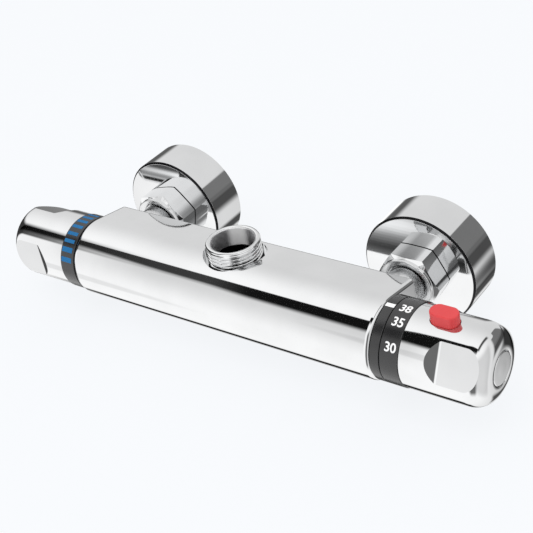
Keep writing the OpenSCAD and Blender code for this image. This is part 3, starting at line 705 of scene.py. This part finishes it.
def handle(name, foot, along, flat_phi):
    """The hollow shell, spun, with three finger flats cut, the first at flat_phi"""
    shell = turned(name, [(17.0, 0)] + arc(18.7, 0.2, 0.2, -90, 0, 3)
                   + [(KNOB_R, 6), (KNOB_R, 12), (KNOB_R, 18), (KNOB_R, 24)]
                   + arc(KNOB_R - KNOB_END, KNOB_LEN - KNOB_END, KNOB_END, 0, 90, 24)
                   + arc(8.4, KNOB_LEN - 0.35, 0.35, 90, 180, 4)
                   + [(8.05, DISC_FLOOR), (6.5, DISC_FLOOR), (6.5, 31.8), (2.15, 31.8), (2.15, 29.3),
                      (4.1, 29.3), (4.1, 3), (8.5, 3), (8.5, 36.0), (12.2, 36.0), (14.1, 33.5),
                      (14.1, 10), (16.9, 6)],
                   foot, along, 192)
    along = Vector(along)
    slope = math.atan2(KNOB_R - FLAT_FROM_AXIS, RAMP_LEN)
    bend = FLAT_START + RAMP_SOFT * math.tan(slope / 2)
    path = [(KNOB_R + 1, FLAT_START - RAMP_LEN * (1 + 1 / (KNOB_R - FLAT_FROM_AXIS)))]
    for i in range(RAMP_STEPS + 1):
        a = slope * (1 - i / RAMP_STEPS)
        path.append((FLAT_FROM_AXIS + RAMP_SOFT * (1 - math.cos(a)), bend - RAMP_SOFT * math.sin(a)))
    path += [(FLAT_FROM_AXIS, KNOB_LEN + 1), (KNOB_R + 1, KNOB_LEN + 1)]
    for k in range(3):
        phi = math.radians(flat_phi + 120 * k)
        out = Vector((0, -math.sin(phi), math.cos(phi)))
        side = along.cross(out) * FLAT_HALF * mm
        points = [foot + out * r * mm + along * h * mm + side for r, h in path]
        cutter = line_of("flat_cutter", points + points[:1])
        bpy.ops.mesh.remove_doubles(threshold=WELD)
        bpy.ops.mesh.edge_face_add()
        bpy.ops.mesh.extrude_region_move(TRANSFORM_OT_translate={"value": side * -2})
        bpy.ops.mesh.select_all(action="SELECT")
        bpy.ops.mesh.normals_make_consistent(inside=False)
        bpy.ops.object.mode_set(mode="OBJECT")
        cut(shell, cutter)
    return shell


def stadium(name, length, width, foot, along, up, height):
    """A prism with half-round ends, its long side along a direction, stood on foot"""
    bpy.ops.object.select_all(action="DESELECT")
    bpy.ops.mesh.primitive_cylinder_add(vertices=96, radius=width / 2 * mm, depth=height * mm,
                                        rotation=(0, 0, math.pi / 96))
    piece = bpy.context.object
    piece.name = piece.data.name = name
    bpy.ops.object.transform_apply()
    for vertex in piece.data.vertices:
        vertex.co.x += math.copysign((length - width) / 2 * mm, vertex.co.x)
        vertex.co.z += height / 2 * mm
    across = up.cross(along)
    piece.data.transform(Matrix.Translation(foot) @ Matrix((along, across, up)).transposed().to_4x4())
    return piece


temp_foot = on_bar(TEMP_FOOT_X)
phi = math.radians(PHI_READ)
button_up = Vector((0, -math.sin(phi), math.cos(phi)))
button_axis = on_bar(BUTTON_X)
knob = handle("temp_handle_shell", temp_foot, RIGHT, PHI_READ + 60)
slot_cutter = stadium("slot_cutter", BUTTON_LEN + 2 * BUTTON_GAP, BUTTON_WIDTH + 2 * BUTTON_GAP,
                      button_axis + button_up * 12 * mm, Vector(RIGHT), button_up, 14)
cut(knob, slot_cutter)
polished(knob, chrome, 18)
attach(knob, "temp_handle")
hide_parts("temp_knob")


def end_disc(name, foot, along):
    """The round disc pressed into a handle's end over its screw"""
    disc = turned(name, [(0, 35.2), (6.4, 35.2), (6.4, DISC_FLOOR), (7.75, DISC_FLOOR)]
                  + arc(7.3, KNOB_LEN - 0.45, 0.45, 0, 90, 5)
                  + [(5, KNOB_LEN - 0.02), (2.5, KNOB_LEN), (0, KNOB_LEN)], foot, along)
    polished(disc, chrome)
    return disc


cap = end_disc("temp_end_disc", temp_foot, RIGHT)
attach(cap, "temp_handle")
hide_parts("temp_end_cap")


# The safety button. Red moulded plastic with a rounded top, held by a flange
# inside the handle. Its arm carries the tooth that meets the 38 degree stop.

red = moulded("red_plastic", (0.66, 0.045, 0.05), (0.74, 0.06, 0.065), 0.3, 1100.0, 0.004)
button_foot = button_axis + button_up * BUTTON_FOOT * mm
button = stadium("safety_button", BUTTON_LEN, BUTTON_WIDTH, button_foot, Vector(RIGHT), button_up, 10.3)
pick_edges(button, lambda a, b: min((p - button_axis).dot(button_up) for p in (a, b)) > 24 * mm)
bpy.ops.mesh.bevel(offset=0.9 * mm, segments=8, profile=0.5, clamp_overlap=False)
bpy.ops.mesh.select_mode(type="VERT")
bpy.ops.object.mode_set(mode="OBJECT")
flange = stadium("button_flange", BUTTON_LEN + 2.4, BUTTON_WIDTH + 2.4, button_foot, Vector(RIGHT),
                 button_up, 1.9)
bpy.ops.object.select_all(action="DESELECT")
bpy.ops.mesh.primitive_cube_add(size=1)
arm = bpy.context.object
arm.data.transform(Matrix.Translation(button_axis + button_up * 14.85 * mm - Vector((14.05, 0, 0)) * mm)
                   @ Matrix.Rotation(phi, 4, "X") @ Matrix.Diagonal((15 * mm, 3 * mm, 1.3 * mm, 1)))
alone(button)
flange.select_set(True)
arm.select_set(True)
bpy.ops.object.join()
polished(button, red)
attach(button, "safety_button")
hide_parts("override_button")


# The flow side. A ceramic-disc cartridge in the bar's left bore: a brass housing,
# a rubber seat, two lapped ceramic discs and a forked spindle.

ceramic = moulded("ceramic", (0.78, 0.76, 0.7), (0.85, 0.83, 0.78), 0.12, 1600.0, 0.001)
finish(brass, "flow_cartridge", "flow_spindle")
finish(rubber, "flow_o_ring", "flow_disc_seal")
finish(ceramic, "flow_fixed_disc", "flow_moving_disc")
finish(stainless, "flow_knob_screw")


# The flow scale. The same dark sleeve on the left, with a row of blue bars
# printed round it that shows how far the water is opened.

LEFT = (-1, 0, 0)
flow_ring = scale_ring("flow_scale_ring", 85.8, LEFT)
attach(flow_ring, "flow_handle")
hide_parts("flow_scale_ring")

blue = moulded("blue_paint", (0.004, 0.125, 0.32), (0.008, 0.155, 0.38), 0.55, 900.0, 0.003, 1.4)
STRIPES = ((-21, 2.8), (-8.6, 2.8), (3.3, 2.8), (15.4, 2.8), (28.9, 2.8), (41.4, 2.8),
           (55, 3.9), (70.7, 3.9))
for number, (phi, half) in enumerate(STRIPES, 1):
    stripe = patch(f"flow_mark_{number}", -94.0, -87.2, phi - half, phi + half)
    polished(stripe, blue, 40)
    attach(stripe, "flow_handle")


# The flow handle. The same shell as the temperature handle without the button,
# turned to where the photograph shows its flats, and closed by the same disc.

FLOW_FOOT_X = -94.7
FLOW_FLAT_PHI = 91

flow_foot = on_bar(FLOW_FOOT_X)
flow_shell = handle("flow_handle_shell", flow_foot, LEFT, FLOW_FLAT_PHI)
polished(flow_shell, chrome, 18)
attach(flow_shell, "flow_handle")
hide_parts("flow_knob")
flow_cap = end_disc("flow_end_disc", flow_foot, LEFT)
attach(flow_cap, "flow_handle")
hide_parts("flow_end_cap")


# The studio. A pale floor and backdrop, a white tent with dark flags that the
# chrome shows, one soft lamp above, and the camera of the photograph.

PALE = (0.93, 0.948, 0.973)
STUDIO_LEVEL = 1.18

bpy.ops.object.select_all(action="DESELECT")
bpy.ops.mesh.primitive_plane_add(size=6, location=(0, 0, cad_low.z - 0.5 * mm))
floor = bpy.context.object
floor.name = "floor"
floor_paint, floor_shader, floor_place = new_material("floor")
wear(floor_shader, Base_Color=(*PALE, 1), Roughness=0.9)
seen = floor_place.node("ShaderNodeEmission", None, {"Color": (*PALE, 1), "Strength": 1.0})
camera_ray = floor_place.node("ShaderNodeLightPath")
tree = floor_paint.node_tree
blend = tree.nodes.new("ShaderNodeMixShader")
tree.links.new((camera_ray * 0.9).socket, blend.inputs[0])
tree.links.new(floor_shader.outputs[0], blend.inputs[1])
tree.links.new(seen.socket, blend.inputs[2])
tree.links.new(blend.outputs[0], tree.nodes["Material Output"].inputs["Surface"])
floor.data.materials.append(floor_paint)
floor.visible_glossy = False

world = bpy.context.scene.world or bpy.data.worlds.new("studio")
bpy.context.scene.world = world
world.use_nodes = True
sky = world.node_tree
way = Value(sky, sky.nodes.new("ShaderNodeTexCoord").outputs["Generated"])
x, y, z = (way.part(i) for i in range(3))
degrees = 180 / math.pi
ahead = way.math("ARCTAN2", y * -1, z) * degrees
beside = way.math("ARCTAN2", z, x) * degrees
under = way.math("ARCTAN2", y, z * -1) * degrees
azimuth = way.math("ARCTAN2", y, x) * degrees


def between(angle, low, high, soft_low, soft_high):
    """1 from low to high, with a soft edge of its own half-width at each end"""
    return angle.rise(low - soft_low, low + soft_low) * (1 - angle.rise(high - soft_high, high + soft_high))


def towards(direction):
    """How near a ray runs to a direction, 1 along it"""
    a, b, c = Vector(direction).normalized()
    return x * a + y * b + z * c


tent = 0.70 + 0.30 * (1 - y.rise(-0.2, 0.8))
front_edge = 24 - 9 * x.rise(-0.47, -0.4)
front_end = 41 + 7 * x.rise(-0.68, -0.61) + 3.5 * x.rise(-0.585, -0.55) - 22 * x.rise(-0.42, -0.15)
front_flag = between(ahead, front_edge, front_end, 0.9, 6) * (1 - y.rise(-0.15, -0.02))
front_flag = front_flag * (0.956 + 0.038 * x.rise(-0.585, -0.55))
front_flag = front_flag * (1 - x.rise(0.42, 0.52))
right_flag = between(x, 0.42, 0.56, 0.04, 0.05) * between(y, -0.28, 0.45, 0.05, 0.06) * z.rise(0.0, 0.25)
front_grey = (1 - ahead.rise(50, 125)) * ahead.rise(46, 50) * between(x, -0.67, -0.42, 0.05, 0.015)
camera_side = between(azimuth, -74, -42, 8, 8) * between(z, -0.8, 0.55, 0.1, 0.1)
right_grey = x.rise(0.4, 0.7) * (1 - y.rise(0.2, 0.4)) * (1 - z.rise(0.4, 0.7))
far_side = (1 - x.rise(-0.35, -0.15)) * y.rise(0.35, 0.6)
far_flag = far_side * between(z, -0.25, 0.12, 0.08, 0.12)
far_glow = towards((-0.546, 0.72, -0.42)).rise(0.985, 0.998)
far_low = far_side * (1 - z.rise(-0.7, -0.42))
low_flag = between(under, 8, 28, 3, 4) * between(x, -0.67, -0.2, 0.03, 0.04)
left_flag = towards((-0.844, -0.195, -0.5)).rise(0.945, 0.975) * (1 - x.rise(-0.78, -0.72))
left_grey = towards((-0.696, -0.5, -0.515)).rise(0.988, 0.996)
left_band = between(y * 0.727 + z * 0.686, -0.13, 0.3, 0.04, 0.08) * (1 - x.rise(-0.72, -0.6))
end_flag = towards((0.29, 0.88, -0.38)).rise(0.93, 0.975)
flat_grey = towards((-0.37, -0.91, 0.2)).rise(0.985, 0.996)
side_edge = 54 - 17 * x.rise(0.4, 0.64)
side_grey = between(beside, 3, side_edge, 6, 1) * y.rise(0.45, 0.55) * x.rise(0.2, 0.3)
side_black = between(beside, -24, 6, 9, 7) * y.rise(0.45, 0.55)
side_low = between(beside, -92, -66, 6, 6) * y.rise(0.45, 0.55)
studio = tent
for shade, depth in ((front_flag, 1), (right_flag, 0.93), (front_grey, 0.3), (camera_side, 0.85),
                     (right_grey, 0.3), (far_flag, 0.85), (far_glow, -0.8), (far_low, 0.97),
                     (low_flag, 0.99), (left_flag, 0.93), (left_grey, 0.15), (flat_grey, 0.17),
                     (left_band, 0.96), (end_flag, 0.95), (side_grey, 0.75), (side_black, 0.9),
                     (side_low, 0.9)):
    studio = studio * (1 - shade * depth)
room = 0.75 + 0.35 * z.rise(-0.2, 1.0)

paths = sky.nodes.new("ShaderNodeLightPath")
is_camera = Value(sky, paths.outputs["Is Camera Ray"])
is_glossy = Value(sky, paths.outputs["Is Glossy Ray"])
light = is_glossy * studio * STUDIO_LEVEL + (1 - is_glossy) * room
colour = is_camera.mix((1, 1, 1), PALE)
strength = is_camera + (1 - is_camera) * light
background = sky.nodes["Background"]
sky.links.new(colour.socket, background.inputs["Color"])
sky.links.new(strength.socket, background.inputs["Strength"])

bpy.ops.object.light_add(type="AREA", location=(0.1, -0.5, 1.1))
lamp = bpy.context.object
lamp.name = "soft_lamp"
lamp.data.size = 0.8
lamp.data.energy = 3.0
lamp.rotation_euler = (Vector((0, -0.06, 0)) - lamp.location).to_track_quat("-Z", "Y").to_euler()
lamp.visible_glossy = False

view = bpy.data.cameras.new("camera")
view.lens = 79.4
view.sensor_width = 36
view.clip_start = 0.01
camera = bpy.data.objects.new("camera", view)
bpy.context.scene.collection.objects.link(camera)
camera.matrix_world = Matrix(((0.8098, -0.2155, 0.5457, 0.31783), (0.5672, 0.5253, -0.6343, -0.41066),
                              (-0.1500, 0.8232, 0.5476, 0.32089), (0, 0, 0, 1)))
bpy.context.scene.camera = camera
bpy.context.scene.view_settings.view_transform = "Standard"
